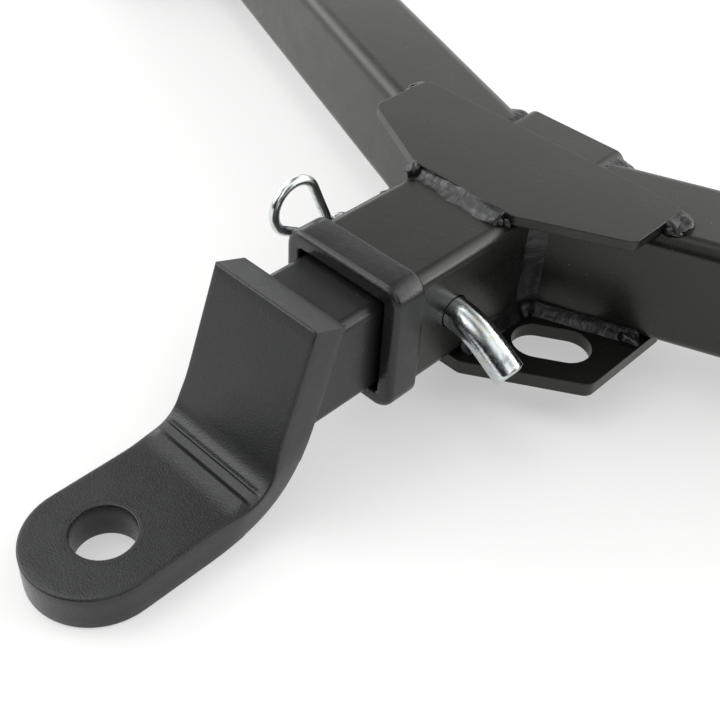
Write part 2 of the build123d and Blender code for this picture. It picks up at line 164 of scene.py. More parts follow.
def paint(name, dark, light, rough, peel, grain, sheen_tint, edge=0.0):
    """Satin powder coat: uneven tone, dust specks, orange peel and fine grain.

    edge is the radius, in metres, by which the CAD's sharp edges look rounded.
    """
    material, nodes, links, shader = new_material(name)
    place = nodes.new("ShaderNodeTexCoord").outputs["Object"]
    cloud = noise_node(nodes, links, place, scale=28.0, detail=4.0)
    tone = ramp(nodes, links, cloud, [(0.3, dark), (0.7, light)])
    speck = noise_node(nodes, links, place, scale=700.0, detail=1.0)
    dust = spread(nodes, links, speck, low=0.79, high=0.84, new_low=0.0, new_high=0.5)
    mix = nodes.new("ShaderNodeMix")
    mix.data_type = "RGBA"
    links.new(dust, mix.inputs["Factor"])
    links.new(tone, mix.inputs["A"])
    mix.inputs["B"].default_value = DUST_GREY
    links.new(mix.outputs["Result"], shader.inputs["Base Color"])
    shader.inputs["Specular Tint"].default_value = (*sheen_tint, 1.0)
    smear = noise_node(nodes, links, place, scale=60.0, detail=5.0)
    sheen = spread(nodes, links, smear, low=0.3, high=0.7, new_low=rough - 0.05, new_high=rough + 0.05)
    links.new(sheen, shader.inputs["Roughness"])
    normal = None
    if edge:
        bevel = nodes.new("ShaderNodeBevel")
        bevel.samples = 6
        bevel.inputs["Radius"].default_value = edge
        normal = bevel.outputs["Normal"]
    soft = noise_node(nodes, links, place, scale=350.0, detail=2.0)
    normal = bump(nodes, links, soft, peel, distance=0.0004, normal=normal)
    fine = noise_node(nodes, links, place, scale=1500.0, detail=2.0)
    normal = bump(nodes, links, fine, grain, distance=0.0002, normal=normal)
    links.new(normal, shader.inputs["Normal"])
    return material


def zinc(name, tint, rough, scratch_scale):
    """Bright zinc plate: metal with a faint tint, drawing marks and small dull spots."""
    material, nodes, links, shader = new_material(name)
    place = nodes.new("ShaderNodeTexCoord").outputs["Object"]
    shader.inputs["Metallic"].default_value = 1.0
    cloud = noise_node(nodes, links, place, scale=160.0, detail=5.0, roughness=0.65)
    dull = tuple(0.55 * v for v in tint)
    warm = (0.95 * tint[0], 0.88 * tint[1], 0.72 * tint[2])
    stops = [(0.32, dull), (0.45, tint), (0.58, tint), (0.68, warm)]
    links.new(ramp(nodes, links, cloud, stops), shader.inputs["Base Color"])
    stretch = nodes.new("ShaderNodeMapping")
    stretch.inputs["Scale"].default_value = scratch_scale
    links.new(place, stretch.inputs["Vector"])
    marks = noise_node(nodes, links, stretch.outputs["Vector"], scale=1.0, detail=3.0)
    sheen = spread(nodes, links, marks, low=0.3, high=0.7, new_low=rough, new_high=rough + 0.1)
    links.new(sheen, shader.inputs["Roughness"])
    normal = bump(nodes, links, marks, strength=0.18, distance=0.0003)
    pits = noise_node(nodes, links, place, scale=450.0, detail=3.0)
    normal = bump(nodes, links, pits, strength=0.20, distance=0.0004, normal=normal)
    links.new(normal, shader.inputs["Normal"])
    return material


DUST_GREY = (0.22, 0.22, 0.21, 1.0)
OLIVE_SHEEN = (1.0, 1.0, 0.92)
BLUE_SHEEN = (0.98, 0.99, 1.0)
TOWBAR_PAINT = paint("towbar_black", dark=(0.0060, 0.0060, 0.0056), light=(0.0085, 0.0085, 0.0080),
                     rough=0.28, peel=0.06, grain=0.10, sheen_tint=OLIVE_SHEEN, edge=0.0009)
PLATE_PAINT = paint("plate_black", dark=(0.0060, 0.0060, 0.0056), light=(0.0085, 0.0085, 0.0080),
                    rough=0.30, peel=0.06, grain=0.10, sheen_tint=OLIVE_SHEEN, edge=0.0007)
WELD_PAINT = paint("weld_black", dark=(0.0060, 0.0060, 0.0058), light=(0.0090, 0.0090, 0.0088),
                   rough=0.27, peel=0.15, grain=0.25, sheen_tint=BLUE_SHEEN)
BALL_PAINT = paint("ball_mount_black", dark=(0.0050, 0.0052, 0.0056), light=(0.0075, 0.0078, 0.0084),
                   rough=0.30, peel=0.10, grain=0.65, sheen_tint=BLUE_SHEEN)
COLLAR_PAINT = paint("collar_black", dark=(0.0055, 0.0056, 0.0056), light=(0.0080, 0.0081, 0.0080),
                     rough=0.28, peel=0.22, grain=0.40, sheen_tint=BLUE_SHEEN)
SHANK_PAINT = paint("shank_black", dark=(0.0055, 0.0056, 0.0058), light=(0.0078, 0.0079, 0.0082),
                    rough=0.30, peel=0.08, grain=0.20, sheen_tint=BLUE_SHEEN, edge=0.0007)
PIN_ZINC = zinc("bright_zinc", tint=(0.60, 0.65, 0.65), rough=0.13, scratch_scale=(90.0, 900.0, 900.0))
CLIP_ZINC = zinc("zinc_wire_bright", tint=(0.68, 0.72, 0.72), rough=0.14, scratch_scale=(700.0, 200.0, 200.0))


# Mesh helpers

def new_object(name, verts, faces):
    """A mesh object in the scene, from points in millimetres."""
    mesh = bpy.data.meshes.new(name)
    mesh.from_pydata([tuple(c * MM for c in v) for v in verts], [], faces)
    made = bpy.data.objects.new(name, mesh)
    bpy.context.scene.collection.objects.link(made)
    return made


def shade(mesh, sharp):
    """Smooth shading, with a hard edge where faces meet at more than sharp degrees."""
    mesh.shade_smooth()
    mesh.set_sharp_from_angle(angle=math.radians(sharp))


def add_piece(name, verts, faces, body, material, replaced, sharp=40.0):
    """A closed mesh piece from millimetre points, riding on a body in place of CAD nodes."""
    piece = new_object(name, verts, faces)
    build = bmesh.new()
    build.from_mesh(piece.data)
    bmesh.ops.recalc_face_normals(build, faces=build.faces)
    build.to_mesh(piece.data)
    build.free()
    shade(piece.data, sharp)
    piece.data.materials.append(material)
    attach(piece, body)
    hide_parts(*replaced)
    return piece


def ring_faces(rings, size, closed=True, loop=False):
    """Quads between successive rings of points; caps both ends unless it loops."""
    faces = []
    count = rings if loop else rings - 1
    for i in range(count):
        j = (i + 1) % rings
        for k in range(size):
            m = (k + 1) % size
            faces.append((i * size + k, i * size + m, j * size + m, j * size + k))
    if closed and not loop:
        faces.append(tuple(range(size)))
        faces.append(tuple((rings - 1) * size + k for k in range(size)))
    return faces


def add_rings(faces, base, rings, size, closed=True):
    """Adds the quads between rings whose first point has the number base."""
    for face in ring_faces(rings, size, closed):
        faces.append(tuple(v + base for v in face))


def sweep_round(path, radii, sides):
    """Round section along a path of points; radii gives the radius at each point."""
    verts = []
    heading = (path[1] - path[0]).normalized()
    side = heading.cross(UP) if abs(heading.z) < 0.9 else heading.cross(RIGHT)
    side.normalize()
    for i, point in enumerate(path):
        before, after = path[max(i - 1, 0)], path[min(i + 1, len(path) - 1)]
        heading = (after - before).normalized()
        side = (side - heading * side.dot(heading)).normalized()
        other = heading.cross(side)
        for k in range(sides):
            a = 2 * math.pi * k / sides
            verts.append(point + (side * math.cos(a) + other * math.sin(a)) * radii[i])
    return verts, ring_faces(len(path), sides)


# Ball mount tongue: a flat plate outline, bent over its profile

LEAN = math.radians(20.0)
TONGUE_HALF = 25.0
TONGUE_THICK = 15.0
TONGUE_EDGE = 0.9
NOSE_OFFSET = 3.5
FOOT_Y = 49.3
FACE_LENGTH = 64.7
BEND_IN = 14.0
BEND_OUT = 38.0
BEND_ANGLE = math.pi / 2 - LEAN
BEND_TANGENT = math.tan(BEND_ANGLE / 2)
BEND_START = FOOT_Y - BEND_IN * BEND_TANGENT
BEND_ARC = BEND_IN * BEND_ANGLE
BEND_END = BEND_START + BEND_ARC
BAR_TOP = BEND_END + FACE_LENGTH - BEND_IN * BEND_TANGENT
# In the bar's side view: the centre of the inner bend, then the directions out of and up the inclined face
BEND_AXIS = Vector((BEND_START, BEND_IN))
FACE_OUT = Vector((math.cos(LEAN), -math.sin(LEAN)))
FACE_UP = Vector((math.sin(LEAN), math.cos(LEAN)))
LEAST_COSINE = 0.05
# The bar's sides swell by this much inside the bend and draw in by that much outside it
SWELL_INSIDE = 1.3
DRAW_OUTSIDE = 0.9
SWELL_MARGIN = 2.0
SWELL_FADE = 8.0
# Press mark inside the bend, as place along the bar and height above the bend:
# a raised shoulder, a groove and a flat strip
PRESS_MARK = ((32.5, 0.0), (34.5, 0.06), (36.5, 0.28), (38.5, 0.66), (40.3, 1.05),
              (41.3, 1.20), (41.7, 1.12), (42.9, 0.48), (43.3, 0.34), (43.6, 0.46),
              (46.3, 0.38), (46.9, -0.60), (48.5, 0.12), (49.5, 0.14), (51.5, 0.0))
PRESS_MIDDLE = 45.0
PRESS_REACH = 5.0
PRESS_FADE = 3.0
# Spacing of the mesh along the bar: across the press mark, in and near the bend, and elsewhere
PRESS_STEP, BEND_STEP, FLAT_STEP = 0.3, 0.9, 3.0
HOLE_RADIUS = 11.5
HOLE_EDGE = 0.3
HOLE_APRON = 2.0
HOLE_STEPS = 72
# Rounded edge of the hole, as distance outside its radius and depth below the face
HOLE_LIP = ((HOLE_APRON, 0.0), (HOLE_EDGE + 0.15, 0.0), (HOLE_EDGE, 0.02), (0.09, 0.09), (0.0, HOLE_EDGE))
NOSE_STEPS = 40
TOP_STEPS = 20
RIM_STEPS = 4


def outer_profile(angle):
    """Distance from the bend axis to the outside of the bar, along this angle."""
    direction = Vector((math.sin(angle), -math.cos(angle)))
    flat = BEND_IN + TONGUE_THICK
    heel = Vector((FOOT_Y + TONGUE_THICK / math.cos(LEAN) - TONGUE_THICK * math.tan(LEAN), -TONGUE_THICK))
    centre = heel + Vector((-BEND_OUT * BEND_TANGENT, BEND_OUT))
    low_end = heel.x - BEND_OUT * BEND_TANGENT
    reach = flat / max(math.cos(angle), LEAST_COSINE)
    if BEND_AXIS.x + reach * math.sin(angle) <= low_end:
        return reach
    back = flat / max(math.cos(BEND_ANGLE - angle), LEAST_COSINE)
    hit = BEND_AXIS + direction * back
    if (hit - heel).dot(FACE_UP) >= BEND_OUT * BEND_TANGENT:
        return back
    offset = BEND_AXIS - centre
    b = offset.dot(direction)
    return -b + math.sqrt(max(b * b - offset.length_squared + BEND_OUT * BEND_OUT, 0.0))


def side_swell(s, depth):
    """How far the bar's sides move out in the bend: out on its inside, in on its outside."""
    away = max(BEND_START + SWELL_MARGIN - s, s - BEND_END + SWELL_MARGIN, 0.0)
    fall = math.exp(-((away / SWELL_FADE) ** 2))
    share = depth / TONGUE_THICK
    return fall * (SWELL_INSIDE * (1.0 - share) - DRAW_OUTSIDE * share)


def press_mark(s, x):
    """Height that the press left on the inside of the bend, fading out towards the bar's sides."""
    fade = min(max((TONGUE_HALF - TONGUE_EDGE - abs(x)) / PRESS_FADE, 0.0), 1.0)
    for (s0, h0), (s1, h1) in zip(PRESS_MARK, PRESS_MARK[1:]):
        if s0 <= s < s1:
            return fade * (h0 + (h1 - h0) * (s - s0) / (s1 - s0))
    return 0.0


def bent_point(x, s, depth):
    """Place of a point of the flat plate: x across, s along, depth from the top face."""
    if s <= BEND_START:
        place = Vector((s, -depth))
    elif s >= BEND_END:
        rest = s - BEND_START - BEND_ARC
        place = BEND_AXIS + FACE_OUT * (BEND_IN + depth) + FACE_UP * rest
    else:
        angle = (s - BEND_START) / BEND_IN
        outside = outer_profile(angle)
        radius = BEND_IN + depth / TONGUE_THICK * (outside - BEND_IN)
        place = BEND_AXIS + Vector((math.sin(angle), -math.cos(angle))) * radius
    wide = x * (1.0 + side_swell(s, depth) / TONGUE_HALF)
    return Vector((wide, place.x, place.y))


def stations():
    """Places along the bar: close together in the bend, wider apart elsewhere."""
    places = []
    s = 0.0
    while s < BAR_TOP - 4.0:
        places.append(s)
        if abs(s - PRESS_MIDDLE) < PRESS_REACH:
            s += PRESS_STEP
        elif BEND_START - 8.0 < s < BEND_END + 4.0:
            s += BEND_STEP
        else:
            s += FLAT_STEP
    return places


SIDE_STATIONS = stations()


def tongue_outline(inset):
    """Outline of the flattened bar, moved in by inset: round the nose, up, across the top and down."""
    half = TONGUE_HALF - inset
    top = BAR_TOP - inset
    points = []
    for i in range(NOSE_STEPS + 1):
        a = math.pi * i / NOSE_STEPS
        points.append(Vector((-half * math.cos(a), -NOSE_OFFSET - half * math.sin(a))))
    points += [Vector((half, s)) for s in SIDE_STATIONS]
    points += [Vector((half - 2 * half * i / TOP_STEPS, top)) for i in range(TOP_STEPS + 1)]
    points += [Vector((-half, s)) for s in reversed(SIDE_STATIONS)]
    return points


def make_tongue():
    """Bent bar with softly rounded edges, ball hole and press mark."""
    rim = [(TONGUE_EDGE * (1 - math.sin(a)), TONGUE_EDGE * (1 - math.cos(a)))
           for a in quarter_turn(RIM_STEPS)]
    rings = rim + [(0.0, 4.5), (0.0, 7.5), (0.0, 10.5)]
    rings += [(inset, TONGUE_THICK - depth) for inset, depth in reversed(rim)]
    outlines = [tongue_outline(inset) for inset, depth in rings]
    size = len(outlines[0])
    verts = []
    for outline, (inset, depth) in zip(outlines, rings):
        verts += [bent_point(p.x, p.y, depth) for p in outline]
    faces = ring_faces(len(rings), size, closed=False)
    hole_start = len(verts)
    lip = [(HOLE_RADIUS + out, depth) for out, depth in HOLE_LIP]
    hole_rings = lip + [(HOLE_RADIUS, 5.0), (HOLE_RADIUS, 10.0)]
    hole_rings += [(radius, TONGUE_THICK - depth) for radius, depth in reversed(lip)]
    for radius, depth in hole_rings:
        for i in range(HOLE_STEPS):
            a = 2 * math.pi * i / HOLE_STEPS
            verts.append(Vector((radius * math.cos(a), radius * math.sin(a), -depth)))
    add_rings(faces, hole_start, len(hole_rings), HOLE_STEPS, closed=False)
    last_ring, last_hole_ring = len(rings) - 1, len(hole_rings) - 1
    for depth, ring, hole_ring in ((0.0, 0, 0), (TONGUE_THICK, last_ring, last_hole_ring)):
        fill_face(verts, faces, outlines[ring], ring * size, hole_start + hole_ring * HOLE_STEPS, depth)
    add_piece("ball_mount_tongue_bar", verts, faces, "ball_mount", BALL_PAINT,
              ["ball_mount_tongue"], sharp=50.0)


def fill_face(verts, faces, outline, outline_start, hole_start, depth):
    """Triangles between the outline and the hole, over inner points that carry the bend and the mark."""
    flat = [Vector((p.x, p.y)) for p in outline]
    index = [outline_start + i for i in range(len(outline))]
    edges = [(i, (i + 1) % len(outline)) for i in range(len(outline))]
    hole_first = len(flat)
    radius = HOLE_RADIUS + HOLE_APRON
    for i in range(HOLE_STEPS):
        a = 2 * math.pi * i / HOLE_STEPS
        flat.append(Vector((radius * math.cos(a), radius * math.sin(a))))
        index.append(hole_start + i)
        edges.append((hole_first + i, hole_first + (i + 1) % HOLE_STEPS))
    across = [-22.5 + 1.5 * i for i in range(31)]
    nose = [-24.0 + 2.0 * i for i in range(12)]
    clear_of_hole, clear_of_nose = radius + 1.0, TONGUE_HALF - 2.0
    for s in nose + SIDE_STATIONS:
        for x in across:
            near_hole = x * x + s * s < clear_of_hole ** 2
            past_nose = s < -NOSE_OFFSET and x * x + (s + NOSE_OFFSET) ** 2 > clear_of_nose ** 2
            if near_hole or past_nose:
                continue
            flat.append(Vector((x, s)))
            height = press_mark(s, x) if depth == 0.0 else 0.0
            verts.append(bent_point(x, s, depth - height))
            index.append(len(verts) - 1)
    points, _, triangles, origins, _, _ = geometry.delaunay_2d_cdt(flat, edges, [], 1, 1e-5)
    lookup = [index[group[0]] if group else None for group in origins]
    for triangle in triangles:
        middle = sum((points[v] for v in triangle), Vector((0, 0))) / 3
        if middle.length < radius - 0.1:
            continue
        corners = tuple(lookup[v] for v in triangle)
        if None in corners or len(set(corners)) < 3:
            continue
        faces.append(corners)


make_tongue()


# Hitch pin and clip

PIN_RADIUS = 6.35
PIN_LEFT = -44.0
PIN_BEND_X = 24.5
PIN_BEND_RADIUS = 33.0
PIN_BEND = math.radians(32.5)
PIN_END = 14.2
PIN_CHAMFER = 1.5
PIN_SIDES = 64
CLIP_X = -37.5
CLIP_RADIUS = 2.0
CLIP_SIDES = 28
CLIP_LEAN = math.radians(30.0)
CLIP_ALONG = Vector((0, math.cos(CLIP_LEAN), -math.sin(CLIP_LEAN)))
CLIP_ACROSS = Vector((0, math.sin(CLIP_LEAN), math.cos(CLIP_LEAN)))
CROSS_HOLE_RADIUS = CLIP_RADIUS + 0.25


def make_pin():
    """Bent round bar with rounded end edges and the clip's cross hole."""
    end_steps, straight_steps, bend_steps, handle_steps = 5, 23, 20, 5
    down = Vector((0, 0, -1))
    start = Vector((PIN_LEFT, AXIS_Y, AXIS_Z))
    bend_start = Vector((PIN_BEND_X, AXIS_Y, AXIS_Z))
    path, radii = [], []
    for a in quarter_turn(end_steps):
        path.append(start + RIGHT * (PIN_CHAMFER * (1 - math.cos(a))))
        radii.append(PIN_RADIUS - PIN_CHAMFER * (1 - math.sin(a)))
    straight = bend_start.x - start.x - PIN_CHAMFER
    for i in range(1, straight_steps + 1):
        path.append(start + RIGHT * (PIN_CHAMFER + straight * i / straight_steps))
    centre = bend_start + down * PIN_BEND_RADIUS
    for i in range(1, bend_steps + 1):
        a = PIN_BEND * i / bend_steps
        path.append(centre + RIGHT * (PIN_BEND_RADIUS * math.sin(a)) - down * (PIN_BEND_RADIUS * math.cos(a)))
    heading = RIGHT * math.cos(PIN_BEND) + down * math.sin(PIN_BEND)
    bend_end = path[-1]
    for i in range(1, handle_steps + 1):
        path.append(bend_end + heading * ((PIN_END - PIN_CHAMFER) * i / handle_steps))
    radii += [PIN_RADIUS] * (straight_steps + bend_steps + handle_steps)
    shoulder = path[-1]
    for a in quarter_turn(end_steps)[1:]:
        path.append(shoulder + heading * (PIN_CHAMFER * math.sin(a)))
        radii.append(PIN_RADIUS - PIN_CHAMFER * (1 - math.cos(a)))
    verts, faces = sweep_round(path, radii, PIN_SIDES)
    pin = add_piece("hitch_pin_bar", verts, faces, "hitch_pin_body", PIN_ZINC, ["hitch_pin"])
    cut_cross_hole(pin)


def cut_cross_hole(pin):
    """Drills the clip's hole through the pin's left end."""
    reach, sides = 10.0, 32
    start = Vector((CLIP_X, AXIS_Y, AXIS_Z)) - CLIP_ALONG * reach
    verts, faces = sweep_round([start, start + CLIP_ALONG * (2 * reach)], [CROSS_HOLE_RADIUS] * 2, sides)
    drill = new_object("drill", verts, faces)
    cut = pin.modifiers.new("cross_hole", "BOOLEAN")
    cut.operation = "DIFFERENCE"
    cut.object = drill
    cut.solver = "EXACT"
    bpy.context.view_layer.update()
    graph = bpy.context.evaluated_depsgraph_get()
    result = bpy.data.meshes.new_from_object(pin.evaluated_get(graph))
    pin.modifiers.clear()
    pin.data = result
    result.materials.clear()
    result.materials.append(PIN_ZINC)
    shade(result, 40.0)
    bpy.data.objects.remove(drill)


def rounded_path(corners, radii, step=0.35):
    """Line through corners in a plane, with an arc of the given radius at each inner one."""
    points = [corners[0]]
    for i in range(1, len(corners) - 1):
        before = (corners[i - 1] - corners[i]).normalized()
        after = (corners[i + 1] - corners[i]).normalized()
        half = math.acos(max(-1.0, min(1.0, before.dot(after)))) / 2
        reach = radii[i - 1] / math.tan(half)
        middle = (before + after).normalized()
        centre = corners[i] + middle * (radii[i - 1] / math.sin(half))
        start = corners[i] + before * reach
        end = corners[i] + after * reach
        turn = math.pi - 2 * half
        count = max(4, int(radii[i - 1] * turn / step))
        a0, b0 = start - centre, end - centre
        for k in range(count + 1):
            t = k / count
            mix = (a0 * math.sin((1 - t) * turn) + b0 * math.sin(t * turn)) / math.sin(turn)
            points.append(centre + mix)
    points.append(corners[-1])
    return points


def make_clip():
    """Sprung wire: straight leg, ring and gripping leg, with rounded wire ends."""
    ring, leg_tip, leg_length = 10.4, 16.0, 48.0
    leg_steps, ring_steps = 40, 90
    slope, grip = math.radians(36.5), math.radians(40.0)
    waist_radius, grip_radius = 4.0, PIN_RADIUS + 0.3 + CLIP_RADIUS
    origin = Vector((CLIP_X, AXIS_Y, AXIS_Z))
    heel = leg_tip - leg_length
    turn = math.pi / 2 - slope
    leave = Vector((heel + ring * math.cos(turn), ring + ring * math.sin(turn)))
    apex = Vector((0.0, grip_radius / math.cos(grip)))
    rise = leave.y + leave.x * math.tan(slope)
    waist_u = (rise - apex.y) / (math.tan(grip) + math.tan(slope))
    waist = Vector((waist_u, apex.y + waist_u * math.tan(grip)))
    other = Vector((-waist_u, waist.y))
    tail = other + Vector((7.9, 5.5))
    leg_start, leg_run = Vector((leg_tip, 0.0)), Vector((heel - leg_tip, 0.0))
    flat = [leg_start + leg_run * (i / leg_steps) for i in range(leg_steps + 1)]
    for i in range(1, ring_steps + 1):
        a = -math.pi / 2 - (2 * math.pi - math.pi / 2 - turn) * i / ring_steps
        flat.append(Vector((heel + ring * math.cos(a), ring + ring * math.sin(a))))
    flat += rounded_path([leave, waist, apex, other, tail], [waist_radius, grip_radius, waist_radius])[1:]
    path = [origin + CLIP_ALONG * p.x + CLIP_ACROSS * p.y for p in flat]
    trimmed = [path[0]]
    for p in path[1:]:
        if (p - trimmed[-1]).length > 0.05:
            trimmed.append(p)
    first, last = trimmed[0], trimmed[-1]
    out_first = (trimmed[0] - trimmed[1]).normalized()
    out_last = (trimmed[-1] - trimmed[-2]).normalized()
    ease = 0.45
    trimmed = [first, first - out_first * ease] + trimmed[1:-1] + [last - out_last * ease, last]
    radii = [CLIP_RADIUS - ease] + [CLIP_RADIUS] * (len(trimmed) - 2) + [CLIP_RADIUS - ease]
    verts, faces = sweep_round(trimmed, radii, CLIP_SIDES)
    add_piece("hitch_clip_wire", verts, faces, "clip_body", CLIP_ZINC, ["hitch_clip"])


make_pin()
make_clip()


# Receiver collar

COLLAR_FRONT = 107.0
COLLAR_BACK = 122.0
COLLAR_HALF = 28.0
COLLAR_MOUTH = 21.0
COLLAR_LIP = 2.0
COLLAR_GAP = 0.02
COLLAR_CORNER_CENTRE = 20.0


def rounded_square(half, corner_centre, y, corner_steps=10, side_steps=6):
    """Points round a square with rounded corners in the plane at this y."""
    radius = half - corner_centre

    def corner_point(quarter, angle):
        cx = corner_centre * (1 if quarter % 4 in (0, 3) else -1)
        cz = corner_centre * (1 if quarter % 4 in (0, 1) else -1)
        return Vector((cx + radius * math.cos(angle), y, AXIS_Z + cz + radius * math.sin(angle)))

    points = []
    for quarter in range(4):
        a0 = math.pi / 2 * quarter
        points += [corner_point(quarter, a0 + a) for a in quarter_turn(corner_steps)]
        start, end = points[-1], corner_point(quarter + 1, a0 + math.pi / 2)
        points += [start.lerp(end, k / side_steps) for k in range(1, side_steps)]
    return points


def make_collar():
    """Thick ring with well rounded edges round the receiver's mouth."""
    front_round, back_round, mouth_round = 2.6, 1.8, 1.3
    profile = []
    for a in quarter_turn(6):
        profile.append((COLLAR_FRONT + mouth_round * (1 - math.sin(a)),
                        COLLAR_MOUTH + mouth_round * (1 - math.cos(a))))
    for a in quarter_turn(8):
        profile.append((COLLAR_FRONT + front_round * (1 - math.cos(a)),
                        COLLAR_HALF - front_round * (1 - math.sin(a))))
    for a in quarter_turn(6):
        profile.append((COLLAR_BACK - back_round * (1 - math.sin(a)),
                        COLLAR_HALF - back_round * (1 - math.cos(a))))
    profile.append((COLLAR_BACK, RECEIVER_HALF + COLLAR_GAP))
    profile.append((COLLAR_FRONT + COLLAR_LIP, RECEIVER_HALF + COLLAR_GAP))
    profile.append((COLLAR_FRONT + COLLAR_LIP, COLLAR_MOUTH))
    verts = []
    for y, size in profile:
        verts += rounded_square(size, COLLAR_CORNER_CENTRE, y)
    count = len(verts) // len(profile)
    faces = ring_faces(len(profile), count, loop=True)
    add_piece("receiver_collar_ring", verts, faces, "towbar", COLLAR_PAINT,
              ["receiver_collar"], sharp=60.0)


make_collar()


# Weld beads. Each piece is named after the node that it replaces.

BEAD_SECTION = 16
BEAD_STEP = 0.25
BEAD_SINK = 0.15
BEAD_RIPPLE = 0.012
BEAD_PITCH = 1.6
BEAD_SWELL = 0.10
STRIP_SECTION = 14
STRIP_STEP = 0.3
STRIP_ROUGH = 0.15
RING_SECTION = 11
RING_SINK = 0.25
RING_PITCH = 0.35
BEAD_TAPER = 2.5


def end_scale(s, length, taper):
    """Share of a bead's full size at this place, less within the taper at each end."""
    close = min(s, length - s)
    return math.sqrt(max(1 - (1 - min(close / taper, 1.0)) ** 2, 0.04))


def fillet(t, power):
    """Shares of the two legs at a share t of the section; more power makes it more hollow."""
    return math.cos(math.pi / 2 * t) ** power, math.sin(math.pi / 2 * t) ** power


def ripple(phase, t):
    """Height of the curved ripples across a bead."""
    return abs(math.sin(math.pi * (phase + 0.45 * (2 * t - 1) ** 2))) - 0.6


def bead_run(verts, faces, start, end, leg_a, leg_b, seed, power=2.3, end_power=None, rough=0.05, streak=0.12,
             taper=BEAD_TAPER):
    """One fillet bead with ripples and streaks, from a corner line and a leg on each face."""
    start, end = Vector(start), Vector(end)
    leg_a, leg_b = Vector(leg_a), Vector(leg_b)
    run = end - start
    length = run.length
    heading = run.normalized()
    sunk_a, sunk_b = leg_a.normalized() * BEAD_SINK, leg_b.normalized() * BEAD_SINK
    out = (leg_a.normalized() + leg_b.normalized()).normalized()
    count = max(8, int(length / BEAD_STEP))
    base = len(verts)
    for i in range(count + 1):
        s = length * i / count
        scale = end_scale(s, length, taper)
        grow_a = scale * (1 + BEAD_SWELL * noise.noise(Vector((s / 5.0, seed, 0.3))))
        grow_b = scale * (1 + BEAD_SWELL * noise.noise(Vector((s / 6.0, seed, 7.3))))
        hollow = power if end_power is None else power + (end_power - power) * i / count
        root = start + heading * s - sunk_a - sunk_b
        for k in range(BEAD_SECTION):
            t = k / (BEAD_SECTION - 1)
            ca, cb = fillet(t, hollow)
            wave = BEAD_RIPPLE * ripple(s / BEAD_PITCH, t)
            lump = rough * noise.fractal(Vector((s / 3.0, t * 2.5 + seed, seed * 1.7)), 0.9, 2.0, 3)
            line = streak * noise.noise(Vector((s / 9.0, t * 5.0 + seed, seed * 2.3)))
            offset = leg_a * (ca * grow_a) + leg_b * (cb * grow_b) + sunk_a * ca + sunk_b * cb
            proud = (wave + lump + line) * math.sin(math.pi * t) ** 0.7 * scale
            verts.append(root + offset + out * proud)
        verts.append(root)
    add_rings(faces, base, count + 1, BEAD_SECTION + 1)


def strip_run(verts, faces, start, end, side, up, height, depth, seed):
    """A low weld strip that fills a groove: side is its half width, up points out of the groove."""
    start, end, side, up = Vector(start), Vector(end), Vector(side), Vector(up)
    run = end - start
    count = max(8, int(run.length / STRIP_STEP))
    base = len(verts)
    for i in range(count + 1):
        s = run.length * i / count
        scale = end_scale(s, run.length, BEAD_TAPER)
        middle = start + run * (i / count)
        wide = side * (scale * (1 + 0.12 * noise.noise(Vector((s / 4.0, seed, 1.1)))))
        for k in range(STRIP_SECTION):
            t = 2 * k / (STRIP_SECTION - 1) - 1
            arch = 1 - t * t
            crown = height * arch
            lump = STRIP_ROUGH * noise.fractal(Vector((s / 2.0, t * 2.0 + seed, seed)), 0.8, 2.0, 3) * arch
            verts.append(middle + wide * t + up * (crown * scale + lump))
        verts.append(middle + wide * 0.7 - up * depth)
        verts.append(middle - wide * 0.7 - up * depth)
    add_rings(faces, base, count + 1, STRIP_SECTION + 2)


def blob(verts, faces, centre, size, seed, lumps=0.35):
    """Small rounded lump of weld metal."""
    base = len(verts)
    rows, columns = 12, 20
    for i in range(rows + 1):
        theta = math.pi * i / rows
        for k in range(columns):
            phi = 2 * math.pi * k / columns
            unit = Vector((math.sin(theta) * math.cos(phi), math.sin(theta) * math.sin(phi), math.cos(theta)))
            grow = 1 + lumps * noise.noise(unit * 1.6 + Vector((seed, seed * 2.0, 0)))
            reach = Vector((unit.x * size[0], unit.y * size[1], unit.z * size[2]))
            verts.append(Vector(centre) + reach * grow)
    add_rings(faces, base, rows + 1, columns, closed=False)


def on_side(run, sign):
    """A bead that is given for the right, on the right (sign 1) or the left (sign -1)."""
    return tuple((sign * p[0], p[1], p[2]) for p in run)


def add_weld(node, verts, faces, body="towbar"):
    add_piece(node + "_bead", verts, faces, body, WELD_PAINT, [node], sharp=80.0)


def add_beads(node, runs, seed, blobs=(), **kwargs):
    """One weld node's straight beads and blobs."""
    verts, faces = [], []
    for i, run in enumerate(runs):
        bead_run(verts, faces, *run, seed=seed + 3.1 * i, **kwargs)
    for i, (centre, size) in enumerate(blobs):
        blob(verts, faces, centre, size, seed + 0.7 * i)
    add_weld(node, verts, faces)


